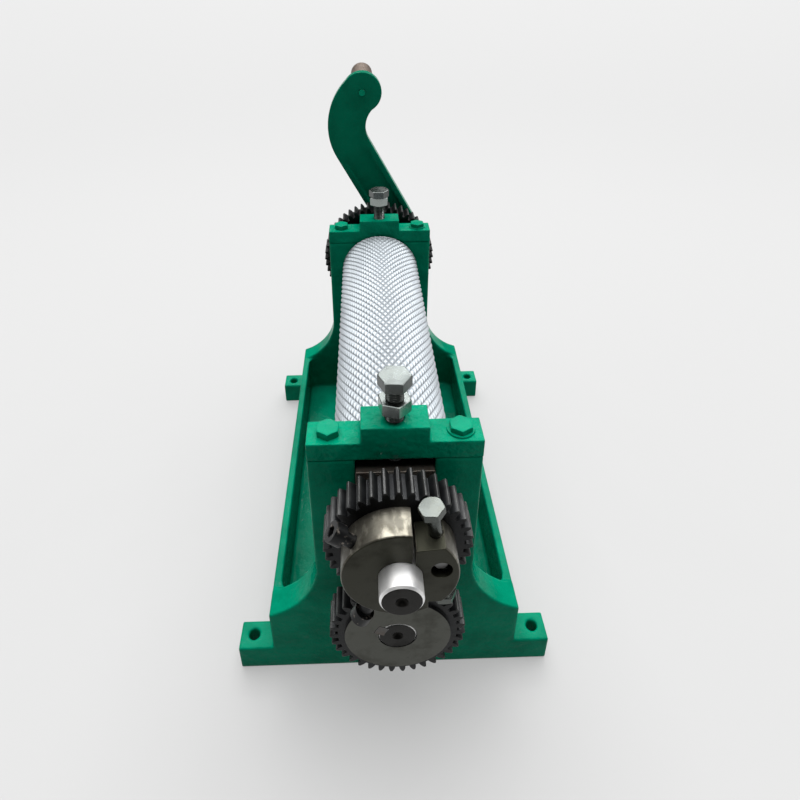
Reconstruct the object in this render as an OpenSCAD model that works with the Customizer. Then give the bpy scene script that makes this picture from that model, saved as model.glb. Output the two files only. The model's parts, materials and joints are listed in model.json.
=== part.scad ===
// Hand-cranked two-roller embossing mill on a cast bench frame.
// Frame: +X to the right, +Y from the timing gears towards the crank, +Z up.
// The origin is the centre of the four foot holes, on the bench.

/* [Rollers] */
// Outside diameter of a roller, over its crests
roller_d = 86; // [70:1:104]
// Length of a roller's face
roller_len = 306; // [200:2:420]
// Gap between the rollers when they are closed
roller_gap = 1.5; // [1:0.1:2.5]
// Bore of the aluminium sleeve that makes a roller's face
sleeve_bore = 40; // [34:1:50]

/* [Frame] */
// Width of the frame's body across its side walls
body_w = 192; // [176:2:230]
// Height of the side walls
body_h = 66; // [50:1:80]
// Thickness of a side wall
wall_t = 7; // [5:0.5:9]
// Height of the floor's underside above the bench
floor_z = 14; // [8:1:20]
// Thickness of the floor
floor_t = 8; // [5:0.5:10]
// Thickness of an end plate, along the rollers
plate_t = 22; // [18:1:28]
// Width of an upright
upright_w = 114; // [106:1:130]
// Radius of the hollow curve from a shoulder up to its upright
shoulder_r = 56; // [40:1:80]
// Height of the lower roller's axis above the bench
lower_axis_z = 103; // [96:1:120]
// Radius of the fillets between the walls and the end plates
corner_r = 8; // [4:0.5:12]

/* [Feet] */
// Width of a lug beyond the side wall
lug_w = 28; // [24:1:36]
// Length of a lug along the frame
lug_d = 23; // [20:1:32]
// Height of a lug
lug_h = 25; // [16:1:30]
// Distance of a foot hole from its lug's outer end
foot_inset = 11; // [9.5:0.5:13]
// Distance of a foot hole from the frame's end face
foot_end_inset = 12; // [9:0.5:14]
// Diameter of a foot hole
foot_hole_d = 9; // [7:0.5:11]

/* [Bearings] */
// Width of the slot that holds the bearing blocks
slot_w = 52; // [48:1:58]
// Block material above and below a journal's axis
block_reach = 26; // [24:0.5:28]
// How far a block stands out of the end plate
block_proud = 3; // [1:0.5:5]
// Outside diameter of a bearing bush
bush_d = 38; // [36:0.5:42]
// Thickness of a bush's flange
bush_flange_t = 1.7; // [1.2:0.1:2.4]
// Diameter of a bush's flange
bush_flange_d = 44; // [40:1:48]
// Diameter of a roller's journals
journal_d = 30; // [26:0.5:32]
// Air between a block's top and its cap
block_air = 8; // [6:0.5:12]

/* [Caps] */
// Thickness of a bearing cap's ends
cap_t = 14; // [10:1:20]
// Width of a cap's centre boss
boss_w = 44; // [34:1:56]
// Height of the centre boss above the cap's ends
boss_h = 12; // [8:1:18]
// Distance of a cap bolt from the middle
cap_bolt_x = 43; // [38:0.5:47]
// Diameter of a cap bolt
cap_bolt_d = 8; // [6:1:10]
// Diameter of a pressure screw
screw_d = 12; // [10:1:14]
// Bare length of a pressure screw between its boss and its head
screw_bare = 25.5; // [18:0.5:30]

/* [Gears] */
// Tooth size, as pitch diameter over teeth; each gear pair is trimmed to its centre distance
gear_module = 2.5; // [2:0.25:3]
// Teeth on the crank's pinion
pinion_teeth = 20; // [18:1:24]
// Face width of a timing gear
timing_face = 20; // [16:1:26]
// Face width of the drive gear and its pinion
drive_face = 20; // [16:1:26]
// Diameter of the turned boss on the lower timing gear
gear_boss_d = 72; // [60:1:76]
// Height of that boss in front of the teeth
gear_boss_t = 2.2; // [1:0.1:2.6]
// Amount taken off each tooth's thickness, for running clearance
backlash = 0.25; // [0.15:0.05:0.4]
// Distance from the end plate to the back of a timing gear
timing_gap = 18; // [10:0.5:24]
// Distance from the end plate to the drive gear
drive_gap = 8; // [6:0.5:14]

/* [Shafts] */
// Diameter of the shafts where the timing gears sit
seat_d = 26; // [24:0.5:28]
// Diameter of the lower shaft inside the crank's bush
crank_seat_d = 24; // [20:0.5:24]
// Length of the upper shaft that stands out of the timing hub
shaft_stub = 15.3; // [8:0.1:30]
// Width of the keys on the shafts
key_w = 8; // [6:1:8]

/* [Timing hub] */
// Diameter of the split hub that sets the rollers' timing
hub_d = 70; // [66:1:74]
// Length of the hub
hub_len = 20.7; // [18:0.1:26]
// Width of the saw cut in the hub
hub_split_w = 1.8; // [1.2:0.1:2.5]
// Sideways place of the saw cut
hub_split_x = 7.8; // [7:0.1:9]
// Height of the milled flats above and below the hub's axis
hub_flat = 23.5; // [22:0.5:26]
// Diameter of the pocket around the timing stud
stud_pocket_d = 12.6; // [11:0.1:14]
// Diameter of the timing stud
stud_d = 8; // [7:0.5:9]
// Distance of the stud to the right of the hub's axis
stud_x = 24; // [22:0.5:25]
// Height of the stud above the hub's axis
stud_z = 5; // [3:0.5:6]

/* [Crank] */
// Height of the grip's axis above the crank's axis
crank_rise = 275; // [250:1:300]
// Sideways offset of the grip's axis
crank_offset = -16.5; // [-24:0.5:-10]
// Width of the arm
arm_w = 43; // [36:0.5:46]
// Thickness of the arm
arm_t = 14; // [12:0.5:18]
// Depth of the hollow in each face of the arm's straight part
arm_hollow = 3.5; // [2:0.25:4.5]
// Width of the rim left around that hollow
arm_rim = 6.5; // [5:0.5:9]
// Radius of the arm's upper bend, at its centre line
upper_bend_r = 50; // [44:1:56]
// Radius of the arm's lower bend, at its centre line
lower_bend_r = 90; // [80:1:110]
// Lean of the arm's straight part away from upright, in degrees
arm_lean = 29; // [26:0.5:31]
// Diameter of the pinion's hub, which carries the arm
crank_hub_d = 38; // [36:0.5:42]
// Diameter of the turning grip
grip_d = 28; // [24:1:32]
// Length of the turning grip
grip_len = 112; // [90:1:130]

/* [Hidden] */
$fn = 64;

// Clearances: a turning fit, a fit between pieces that stay together, a sliding side
run_gap = 0.05;
fit_gap = 0.02;
slide_gap = 0.15;
// Air beside a roller's end, between its face and the bush's flange
end_air = 0.3;

enamel = [0.02, 0.42, 0.30];
zinc = [0.80, 0.81, 0.82];
oxide = [0.13, 0.13, 0.14];
turned = [0.52, 0.50, 0.47];
bright = [0.78, 0.78, 0.79];
bronze = [0.66, 0.50, 0.28];
alloy = [0.82, 0.85, 0.88];

// Rollers and the shafts' axes
roller_r = roller_d / 2;
axis_gap = roller_d + roller_gap;
upper_axis_z = lower_axis_z + axis_gap;
mid_z = lower_axis_z + axis_gap / 2;

// Frame, along Y: inner face of an end plate, outer face, middle
inner_y = roller_len / 2 + bush_flange_t + end_air;
outer_y = inner_y + plate_t;
plate_mid_y = inner_y + plate_t / 2;
block_outer_y = outer_y + block_proud;
floor_top = floor_z + floor_t;
slot_bottom = lower_axis_z - block_reach;
block_top = upper_axis_z + block_reach;
upright_h = block_top + block_air;
shoulder_step = (body_w - upright_w) / 2;
shoulder_top = body_h + sqrt(pow(shoulder_r, 2) - pow(shoulder_r - shoulder_step, 2));
foot_x = body_w / 2 + lug_w - foot_inset;
foot_y = outer_y - foot_end_inset;

// Gears
timing_teeth = round(axis_gap / gear_module);
timing_module = axis_gap / timing_teeth;
drive_teeth = round(2 * axis_gap / gear_module) - pinion_teeth;
drive_module = 2 * axis_gap / (drive_teeth + pinion_teeth);
pressure_angle = 20;
flank_steps = 3;

// Places along Y on the timing side, which is at minus Y
timing_back = -(outer_y + timing_gap);
timing_front = timing_back - timing_face;
hub_front = timing_front - hub_len;
stub_end = hub_front - shaft_stub;
lower_end = timing_front - gear_boss_t;
// The lower bolt and the clamp screws stand a little in front of the hub's middle, clear of the
// lower gear's boss, and the upper bolt a little behind it
hub_bolt_y = timing_front - hub_len / 2 - 2;
hub_top_bolt_y = timing_front - hub_len / 2 + 1.2;

// Places along Y on the crank side
drive_start = outer_y + drive_gap;
drive_end = drive_start + drive_face;
drive_hub_len = 4;
ring_t = 1.5;
ring_start = drive_end + drive_hub_len + fit_gap;
upper_far_end = ring_start + ring_t + 2.5;
arm_start = upper_far_end + 4;
arm_end = arm_start + arm_t;
crank_seat_end = arm_end + 0.4;
washer_t = 2.5;
grip_start = arm_end + 3;
grip_end = grip_start + grip_len;
spindle_d = 14;
spindle_tail_d = 7;
bush_wall = 3;

// Screws and bolts
function across_flats(d) = (d <= 6) ? 10 : (d <= 8) ? 14 : (d <= 10) ? 17 : (d <= 12) ? 19 : 22;
function head_height(d) = 0.64 * d;
timing_bolt_d = 8;
timing_bolt_low_x = 27;
timing_bolt_bare = 16.5;
timing_bolt_lean = 9;
hub_flat_lean = 6;
clamp_screw_d = 8;
clamp_head_d = 13;
clamp_head_len = 8;
clamp_depth = 12;
cap_top = upright_h + cap_t;
boss_top = cap_top + boss_h;
head_bottom = boss_top + screw_bare;
// Lock nuts: thickness, height of each over its boss and how far each is turned, near and far.
// The near nut has been run down towards the boss, the far one stands under its screw's head.
nut_t = 9;
nut_rise = [6.7, screw_bare - nut_t];
nut_turn = [43, 25];
screw_turn = -5;
timing_bolt_turn = -9;
cap_bolt_depth = 24;
chamfer = 1;
shaft_chamfer = 1.5;

// ---------- helpers ----------

// A cylinder along Y from y0 to y1, about the point (x, z)
module bar(x, z, y0, y1, r) {
    translate([x, y1, z])
        rotate([90, 0, 0])
            cylinder(h = y1 - y0, r = r);
}

// A bar with a chamfer at its minus-Y end, its plus-Y end, or both
module turned_bar(z, y0, y1, r, c0, c1) {
    translate([0, y1, z])
        rotate([90, 0, 0])
            rotate_extrude()
                polygon([
                    [0, 0], [r - c1, 0], [r, c1],
                    [r, y1 - y0 - c0], [r - c0, y1 - y0], [0, y1 - y0]
                ]);
}

// A ring along Y
module tube(z, y0, y1, r_out, r_in) {
    difference() {
        bar(0, z, y0, y1, r_out);
        bar(0, z, y0 - 1, y1 + 1, r_in);
    }
}

// A box given by its low corner and its high corner
module span(low, high) {
    translate(low)
        cube(high - low);
}

// A copy for the near end (minus Y) or the far end (plus Y)
module at_end(side) {
    if (side > 0) {
        children();
    } else {
        mirror([0, 1, 0])
            children();
    }
}

// A hexagon head along +Z with its top edges turned off
module hex_head(d, h) {
    flats = across_flats(d);
    intersection() {
        cylinder(h = h, r = flats / sqrt(3), $fn = 6);
        rotate_extrude($fn = 48)
            polygon([
                [0, 0], [flats / sqrt(3), 0], [flats / sqrt(3), h - 0.6],
                [flats / sqrt(3) - 1, h], [0, h]
            ]);
    }
}

// A hexagon bolt: head above z = 0, shank of the stated length below it
module hex_bolt(d, length) {
    hex_head(d, head_height(d));
    translate([0, 0, -length])
        cylinder(h = length, r = d / 2);
}

// A key lying along Y on a shaft of radius r about height z, at an angle from +X
module key_shape(z, r, angle, y0, y1, grow) {
    translate([0, 0, z])
        rotate([0, -angle, 0])
            span([r - key_w / 2, y0, -key_w / 2 - grow], [r + key_w * 0.38 + grow, y1, key_w / 2 + grow]);
}

// Involute teeth
function involute(a) = tan(a) - a * PI / 180;
function flank_half_angle(r, rp, thick) =
    let (rb = rp * cos(pressure_angle), a = acos(min(1, rb / max(r, rb))))
    (thick / 2 / rp + involute(pressure_angle) - involute(a)) * 180 / PI;
function tooth(rp, m, middle) =
    let (root = rp - 1.25 * m, tip = rp + m, thick = PI * m / 2 - backlash)
    concat(
        [for (i = [0:flank_steps])
            let (r = root + (tip - root) * i / flank_steps, a = middle - flank_half_angle(r, rp, thick))
            [r * cos(a), r * sin(a)]],
        [for (i = [flank_steps:-1:0])
            let (r = root + (tip - root) * i / flank_steps, a = middle + flank_half_angle(r, rp, thick))
            [r * cos(a), r * sin(a)]]
    );

// A toothed disc along Y about height z; one tooth's middle lies at the stated angle
module teeth_disc(z, teeth, m, y0, y1, angle) {
    rp = teeth * m / 2;
    translate([0, y1, z])
        rotate([90, 0, 0])
            linear_extrude(height = y1 - y0)
                polygon([for (k = [0:teeth - 1]) each tooth(rp, m, angle + k * 360 / teeth)]);
}

// ---------- frame ----------

// Outline of an end plate: base, hollow shoulders and upright
module plate_outline() {
    difference() {
        translate([-body_w / 2, 0])
            square([body_w, shoulder_top]);
        for (side = [-1, 1])
            translate([side * (upright_w / 2 + shoulder_r), shoulder_top])
                circle(shoulder_r);
    }
    translate([-upright_w / 2, shoulder_top - 1])
        square([upright_w, upright_h - shoulder_top + 1]);
}

module end_plate() {
    difference() {
        translate([0, outer_y, 0])
            rotate([90, 0, 0])
                linear_extrude(height = plate_t)
                    plate_outline();
        span([-slot_w / 2, inner_y - 1, slot_bottom], [slot_w / 2, outer_y + 1, upright_h + 1]);
        for (side = [-1, 1])
            translate([side * cap_bolt_x, plate_mid_y, upright_h - cap_bolt_depth])
                cylinder(h = cap_bolt_depth + 1, r = cap_bolt_d / 2 + fit_gap);
    }
}

// A hollow fillet in the corner between a side wall and an end plate
module corner_fillet() {
    x = body_w / 2 - wall_t;
    difference() {
        span([x - corner_r, inner_y - corner_r, floor_z], [x + 1, inner_y + 1, body_h]);
        translate([x - corner_r, inner_y - corner_r, floor_z - 1])
            cylinder(h = body_h + 2, r = corner_r);
    }
}

module foot_lug() {
    difference() {
        span([body_w / 2 - 1, outer_y - lug_d, 0], [body_w / 2 + lug_w, outer_y, lug_h]);
        translate([foot_x, foot_y, -1])
            cylinder(h = lug_h + 2, r = foot_hole_d / 2);
    }
}

module frame() {
    color(enamel) {
        for (side = [-1, 1])
            at_end(side)
                end_plate();
        for (side = [-1, 1], hand = [0, 1])
            at_end(side)
                mirror([hand, 0, 0]) {
                    corner_fillet();
                    foot_lug();
                }
        for (hand = [0, 1])
            mirror([hand, 0, 0])
                span([body_w / 2 - wall_t, -inner_y - 1, 0], [body_w / 2, inner_y + 1, body_h]);
        span([-body_w / 2 + 1, -inner_y - 1, floor_z], [body_w / 2 - 1, inner_y + 1, floor_top]);
    }
}

module bearing_cap(side) {
    color(enamel)
        at_end(side)
            difference() {
                union() {
                    span([-upright_w / 2, inner_y, upright_h], [upright_w / 2, outer_y, cap_top]);
                    span([-boss_w / 2, inner_y, cap_top - 1], [boss_w / 2, outer_y, boss_top]);
                }
                translate([0, plate_mid_y, upright_h - 1])
                    cylinder(h = cap_t + boss_h + 2, r = screw_d / 2 + run_gap);
                for (hand = [-1, 1])
                    translate([hand * cap_bolt_x, plate_mid_y, upright_h - 1])
                        cylinder(h = cap_t + 2, r = cap_bolt_d / 2 + fit_gap);
            }
}
module bearing_cap_near() { bearing_cap(-1); }
module bearing_cap_far() { bearing_cap(1); }

module cap_bolt(side, hand) {
    color(enamel)
        translate([hand * cap_bolt_x, side * plate_mid_y, cap_top])
            rotate([0, 0, 30])
                hex_bolt(cap_bolt_d, cap_t + cap_bolt_depth - 1);
}
module cap_bolt_near_left() { cap_bolt(-1, -1); }
module cap_bolt_near_right() { cap_bolt(-1, 1); }
module cap_bolt_far_left() { cap_bolt(1, -1); }
module cap_bolt_far_right() { cap_bolt(1, 1); }

// ---------- bearings ----------

module bearing_block(side, axis_z, low, high, clearance) {
    color(oxide)
        at_end(side)
            difference() {
                span([-slot_w / 2 + clearance, inner_y, low], [slot_w / 2 - clearance, block_outer_y, high]);
                bar(0, axis_z, inner_y - 1, block_outer_y + 1, bush_d / 2 + fit_gap);
            }
}
module lower_block_near() { bearing_block(-1, lower_axis_z, slot_bottom, mid_z, 0); }
module lower_block_far() { bearing_block(1, lower_axis_z, slot_bottom, mid_z, 0); }
module upper_block_near() { bearing_block(-1, upper_axis_z, mid_z, block_top, slide_gap); }
module upper_block_far() { bearing_block(1, upper_axis_z, mid_z, block_top, slide_gap); }

module bush(side, axis_z) {
    color(bronze)
        at_end(side)
            difference() {
                union() {
                    bar(0, axis_z, inner_y - 0.5, block_outer_y, bush_d / 2);
                    bar(0, axis_z, inner_y - bush_flange_t, inner_y, bush_flange_d / 2);
                }
                bar(0, axis_z, inner_y - bush_flange_t - 1, block_outer_y + 1, journal_d / 2 + run_gap);
            }
}
module lower_bush_near() { bush(-1, lower_axis_z); }
module lower_bush_far() { bush(1, lower_axis_z); }
module upper_bush_near() { bush(-1, upper_axis_z); }
module upper_bush_far() { bush(1, upper_axis_z); }

// ---------- rollers and shafts ----------

module roller(axis_z) {
    color(alloy)
        tube(axis_z, -roller_len / 2, roller_len / 2, roller_r, sleeve_bore / 2 + fit_gap);
}
module upper_roller() { roller(upper_axis_z); }
module lower_roller() { roller(lower_axis_z); }

// Core and journals, up to the gears' shoulders
module shaft_core(axis_z) {
    bar(0, axis_z, -roller_len / 2, roller_len / 2, sleeve_bore / 2);
    bar(0, axis_z, timing_back, drive_start, journal_d / 2);
}

// Conical centre hole in a shaft's end, open towards minus Y
module centre_drill(axis_z, y) {
    translate([0, y - 0.01, axis_z])
        rotate([-90, 0, 0])
            cylinder(h = 5, r1 = 4, r2 = 0);
}

module upper_shaft() {
    color(bright)
        difference() {
            union() {
                shaft_core(upper_axis_z);
                turned_bar(upper_axis_z, stub_end, timing_back, seat_d / 2, shaft_chamfer, 0);
                turned_bar(upper_axis_z, drive_start, upper_far_end, seat_d / 2, 0, chamfer);
            }
            centre_drill(upper_axis_z, stub_end);
            key_shape(upper_axis_z, seat_d / 2, hub_key_angle, hub_key_start, hub_key_end, fit_gap);
            key_shape(upper_axis_z, seat_d / 2, drive_key_angle, drive_start, drive_end, fit_gap);
            tube(upper_axis_z, ring_start - fit_gap, ring_start + ring_t + fit_gap, seat_d, seat_d / 2 - 1);
        }
}

module lower_shaft() {
    color(bright)
        difference() {
            union() {
                shaft_core(lower_axis_z);
                turned_bar(lower_axis_z, lower_end, timing_back, seat_d / 2, chamfer, 0);
                turned_bar(lower_axis_z, drive_start, crank_seat_end, crank_seat_d / 2, 0, chamfer);
            }
            centre_drill(lower_axis_z, lower_end);
            key_shape(lower_axis_z, seat_d / 2, lower_key_angle, lower_end - 1, timing_back, fit_gap);
            bar(0, lower_axis_z, crank_seat_end - 20, crank_seat_end + 1, cap_bolt_d / 2 + fit_gap);
        }
}

// ---------- timing gears and hub ----------

lower_key_angle = 152;
hub_key_angle = -70;
drive_key_angle = 90;
hub_key_start = hub_front + 3;
hub_key_end = timing_front - 2;
stud_start = timing_front + 11;

module upper_timing_gear() {
    color(oxide)
        difference() {
            teeth_disc(upper_axis_z, timing_teeth, timing_module, timing_front, timing_back, -90 + 180 / timing_teeth);
            bar(0, upper_axis_z, timing_front - 1, timing_back + 1, seat_d / 2 + fit_gap);
            bar(stud_x, upper_axis_z + stud_z, timing_front - 1, stud_start, stud_d / 2 + fit_gap);
        }
}

module lower_timing_gear() {
    color(oxide)
        difference() {
            union() {
                teeth_disc(lower_axis_z, timing_teeth, timing_module, timing_front, timing_back, 90);
                bar(0, lower_axis_z, lower_end, timing_front + 1, gear_boss_d / 2);
            }
            bar(0, lower_axis_z, lower_end - 1, timing_back + 1, seat_d / 2 + fit_gap);
            key_shape(lower_axis_z, seat_d / 2, lower_key_angle, lower_end - 1, timing_back + 1, fit_gap);
        }
}

module lower_gear_key() {
    color(bright)
        key_shape(lower_axis_z, seat_d / 2, lower_key_angle, lower_end, timing_back, 0);
}

module timing_hub() {
    color(turned)
        difference() {
            turned_bar(upper_axis_z, hub_front, timing_front, hub_d / 2, chamfer, 0);
            bar(0, upper_axis_z, hub_front - 1, timing_front + 1, seat_d / 2 + fit_gap);
            bar(stud_x, upper_axis_z + stud_z, hub_front - 1, timing_front + 1, stud_pocket_d / 2);
            span(
                [hub_split_x - hub_split_w / 2, hub_front - 1, upper_axis_z],
                [hub_split_x + hub_split_w / 2, timing_front + 1, upper_axis_z + hub_d]
            );
            intersection() {
                span([hub_split_x, hub_front - 1, upper_axis_z], [hub_d, timing_front + 1, upper_axis_z + hub_d]);
                translate([stud_x, 0, upper_axis_z + hub_flat])
                    rotate([0, -hub_flat_lean, 0])
                        span([-hub_d, hub_front - 1, 0], [hub_d, timing_front + 1, hub_d]);
            }
            span(
                [seat_d / 2 + 4, hub_front - 1, upper_axis_z - hub_d],
                [hub_d, timing_front + 1, upper_axis_z - hub_flat]
            );
            key_shape(upper_axis_z, seat_d / 2, hub_key_angle, hub_key_start, timing_front + 1, fit_gap);
            timing_bolt_place()
                cylinder(h = hub_d, r = timing_bolt_d / 2 + fit_gap);
            translate([timing_bolt_low_x, hub_bolt_y, upper_axis_z + stud_z - hub_d])
                cylinder(h = hub_d, r = cap_bolt_d / 2 + fit_gap);
            for (angle = clamp_angles)
                clamp_place(angle)
                    translate([0, 0, hub_d / 2 - clamp_depth])
                        cylinder(h = hub_d, r = clamp_screw_d / 2 + fit_gap);
        }
}

module hub_key() {
    color(bright)
        key_shape(upper_axis_z, seat_d / 2, hub_key_angle, hub_key_start, hub_key_end, 0);
}

module timing_stud() {
    color(oxide)
        bar(stud_x, upper_axis_z + stud_z, hub_front + 4, stud_start - 0.5, stud_d / 2);
}

// Stands a shape on the stud's axis, leaning with the upper bolt
module timing_bolt_place() {
    translate([stud_x, hub_top_bolt_y, upper_axis_z + stud_z])
        rotate([0, -timing_bolt_lean, 0])
            children();
}

// The upper bolt stands high above its flat and bears on the stud
module timing_bolt_upper() {
    head_rise = hub_flat - stud_z + timing_bolt_bare;
    color(zinc)
        timing_bolt_place()
            translate([0, 0, head_rise])
                rotate([0, 0, timing_bolt_turn])
                    hex_bolt(timing_bolt_d, head_rise - stud_d / 2 - 0.1);
}

// The lower bolt is screwed home and bears on the stud from below
module timing_bolt_lower() {
    flat_z = upper_axis_z - hub_flat;
    tip_z = upper_axis_z + stud_z - stud_d / 2 - 0.1;
    color(zinc)
        translate([timing_bolt_low_x, hub_bolt_y, flat_z])
            rotate([180, 0, 0])
                hex_bolt(cap_bolt_d, tip_z - flat_z);
}

clamp_angles = [142, 243];
clamp_standoffs = [7, 12];

// Turns a shape along +Z so that it points out of the hub at an angle from +X
module clamp_place(angle) {
    translate([0, hub_bolt_y, upper_axis_z])
        rotate([0, 90 - angle, 0])
            children();
}

module hub_clamp_screw(index) {
    base = hub_d / 2 + clamp_standoffs[index];
    color(oxide)
        clamp_place(clamp_angles[index]) {
            translate([0, 0, hub_d / 2 - clamp_depth + 0.5])
                cylinder(h = base - hub_d / 2 + clamp_depth, r = clamp_screw_d / 2);
            difference() {
                translate([0, 0, base])
                    cylinder(h = clamp_head_len, r = clamp_head_d / 2);
                translate([0, 0, base + clamp_head_len / 2])
                    cylinder(h = clamp_head_len, r = 3.4, $fn = 6);
            }
        }
}
module hub_clamp_screw_upper() { hub_clamp_screw(0); }
module hub_clamp_screw_lower() { hub_clamp_screw(1); }

// ---------- drive gear and crank ----------

module drive_gear() {
    rp = drive_teeth * drive_module / 2;
    web_t = drive_face / 2;
    color(oxide)
        difference() {
            union() {
                difference() {
                    teeth_disc(upper_axis_z, drive_teeth, drive_module, drive_start, drive_end, -90 + 180 / drive_teeth);
                    tube(upper_axis_z, drive_start - 1, drive_start + web_t / 2, rp - 9, seat_d);
                    tube(upper_axis_z, drive_end - web_t / 2, drive_end + 1, rp - 9, seat_d);
                }
                bar(0, upper_axis_z, drive_end - 1, drive_end + drive_hub_len, seat_d);
            }
            bar(0, upper_axis_z, drive_start - 1, drive_end + drive_hub_len + 1, seat_d / 2 + fit_gap);
            key_shape(upper_axis_z, seat_d / 2, drive_key_angle, drive_start - 1, drive_end + drive_hub_len + 1, fit_gap);
        }
}

module drive_gear_key() {
    color(bright)
        key_shape(upper_axis_z, seat_d / 2, drive_key_angle, drive_start, drive_end, 0);
}

// Spring ring in its groove, with the gap between its two ears
module drive_gear_ring() {
    color(oxide)
        difference() {
            tube(upper_axis_z, ring_start, ring_start + ring_t, seat_d / 2 + 3, seat_d / 2 - 1 + fit_gap);
            span([-3, ring_start - 1, upper_axis_z], [3, ring_start + ring_t + 1, upper_axis_z + seat_d]);
        }
}

crank_bush_r = crank_seat_d / 2 + bush_wall;
crank_key_angle = 0;

module crank_pinion() {
    color(oxide)
        difference() {
            union() {
                teeth_disc(lower_axis_z, pinion_teeth, drive_module, drive_start + 0.5, drive_end, 90);
                bar(0, lower_axis_z, drive_end - 1, arm_end, crank_hub_d / 2);
            }
            bar(0, lower_axis_z, drive_start, arm_end + 1, crank_bush_r + fit_gap);
            crank_key_shape(arm_start, arm_end + 1, fit_gap);
        }
}

module crank_bush() {
    color(bronze)
        tube(lower_axis_z, drive_start + 0.3, arm_end, crank_bush_r, crank_seat_d / 2 + run_gap);
}

// Key between the pinion's hub and the arm
module crank_key_shape(y0, y1, grow) {
    r = crank_hub_d / 2;
    span([r - 2, y0, lower_axis_z - 3 - grow], [r + 3 + grow, y1, lower_axis_z + 3 + grow]);
}
module crank_key() {
    color(bright)
        crank_key_shape(arm_start, arm_end, 0);
}

// The arm's centre line: an upper bend, a straight part and a lower bend.
// Its points are measured from the crank's axis, across and up.
lean = [sin(arm_lean), -cos(arm_lean)];
across = [cos(arm_lean), sin(arm_lean)];
// The upper bend passes through the grip's axis, with its leftmost point this far below it
upper_drop = 38.5;
upper_bend_x = sqrt(pow(upper_bend_r, 2) - pow(upper_drop, 2));
upper_centre = [crank_offset + upper_bend_x, crank_rise - upper_drop];
straight_top = upper_centre - across * upper_bend_r;
// The lower bend passes through the crank's axis: its centre lies on a line beside the straight part
bend_line = straight_top - across * lower_bend_r;
bend_dot = bend_line * lean;
bend_far = bend_line * bend_line - pow(lower_bend_r, 2);
straight_len = -bend_dot - sqrt(pow(bend_dot, 2) - bend_far);
lower_centre = bend_line + lean * straight_len;
straight_end = straight_top + lean * straight_len;
upper_start_angle = 180 - asin(upper_drop / upper_bend_r);
lower_end_angle = atan2(-lower_centre[1], -lower_centre[0]);
bend_steps = 14;

function arc_points(centre, r, a0, a1) = [
    for (i = [0:bend_steps])
        let (a = a0 + (a1 - a0) * i / bend_steps)
        centre + r * [cos(a), sin(a)]
];

// Outline of the arm, half a width to each side of the centre line
module arm_band(w) {
    polygon(concat(
        arc_points(upper_centre, upper_bend_r + w / 2, upper_start_angle, 180 + arm_lean),
        arc_points(lower_centre, lower_bend_r - w / 2, arm_lean, lower_end_angle),
        arc_points(lower_centre, lower_bend_r + w / 2, lower_end_angle, arm_lean),
        arc_points(upper_centre, upper_bend_r - w / 2, 180 + arm_lean, upper_start_angle)
    ));
}

// Outline of the hollow between the rims, which ends before the hub
module arm_hollow_outline() {
    w = arm_w / 2 - arm_rim;
    low_angle = arm_lean + (lower_end_angle - arm_lean) * 0.5;
    polygon(concat(
        [straight_top - across * w],
        arc_points(lower_centre, lower_bend_r - w, arm_lean, low_angle),
        arc_points(lower_centre, lower_bend_r + w, low_angle, arm_lean),
        [straight_top + across * w]
    ));
}

// Stands an outline drawn across and up, from y0 to y1, at the crank's axis
module stand(y0, y1) {
    translate([0, y1, lower_axis_z])
        rotate([90, 0, 0])
            linear_extrude(height = y1 - y0)
                children();
}

module crank_arm() {
    color(enamel)
        difference() {
            union() {
                stand(arm_start, arm_end)
                    arm_band(arm_w);
                bar(crank_offset, lower_axis_z + crank_rise, arm_start, arm_end, arm_w / 2 + 0.5);
                bar(0, lower_axis_z, arm_start, arm_end, arm_w / 2 + 6);
            }
            stand(arm_start - 1, arm_start + arm_hollow)
                arm_hollow_outline();
            stand(arm_end - arm_hollow, arm_end + 1)
                arm_hollow_outline();
            bar(0, lower_axis_z, arm_start - 1, arm_end + 1, crank_hub_d / 2 + fit_gap);
            bar(crank_offset, lower_axis_z + crank_rise, arm_start - 1, arm_end + 1, spindle_tail_d / 2 + fit_gap);
            crank_key_shape(arm_start - 1, arm_end + 1, fit_gap);
        }
}

module crank_washer() {
    color(zinc)
        tube(lower_axis_z, crank_seat_end, crank_seat_end + washer_t, crank_hub_d / 2 - 2, cap_bolt_d / 2 + fit_gap);
}

module crank_bolt() {
    color(zinc)
        translate([0, crank_seat_end + washer_t, lower_axis_z])
            rotate([-90, 0, 0])
                hex_bolt(cap_bolt_d, washer_t + 18);
}

// Spindle with a riveted tail through the arm and a neck for the end washer
module grip_spindle() {
    z = lower_axis_z + crank_rise;
    color(bright) {
        bar(crank_offset, z, arm_start - 0.6, arm_end + 1, spindle_tail_d / 2);
        bar(crank_offset, z, arm_end, grip_end + 0.4, spindle_d / 2);
        bar(crank_offset, z, grip_end, grip_end + 5, spindle_tail_d / 2);
    }
}

module grip_sleeve() {
    z = lower_axis_z + crank_rise;
    color(turned)
        translate([crank_offset, 0, 0])
            difference() {
                turned_bar(z, grip_start, grip_end, grip_d / 2, 2, 2);
                bar(0, z, grip_start - 1, grip_end + 1, spindle_d / 2 + run_gap);
            }
}

module grip_washer() {
    z = lower_axis_z + crank_rise;
    color(zinc)
        translate([crank_offset, 0, 0])
            tube(z, grip_end + 0.4, grip_end + 0.4 + washer_t, spindle_d / 2 + 4, spindle_tail_d / 2 + fit_gap);
}

// ---------- pressure screws ----------

module pressure_screw(side) {
    color(zinc)
        translate([0, side * plate_mid_y, head_bottom])
            rotate([0, 0, screw_turn])
                hex_bolt(screw_d, head_bottom - block_top);
}
module pressure_screw_near() { pressure_screw(-1); }
module pressure_screw_far() { pressure_screw(1); }

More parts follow.
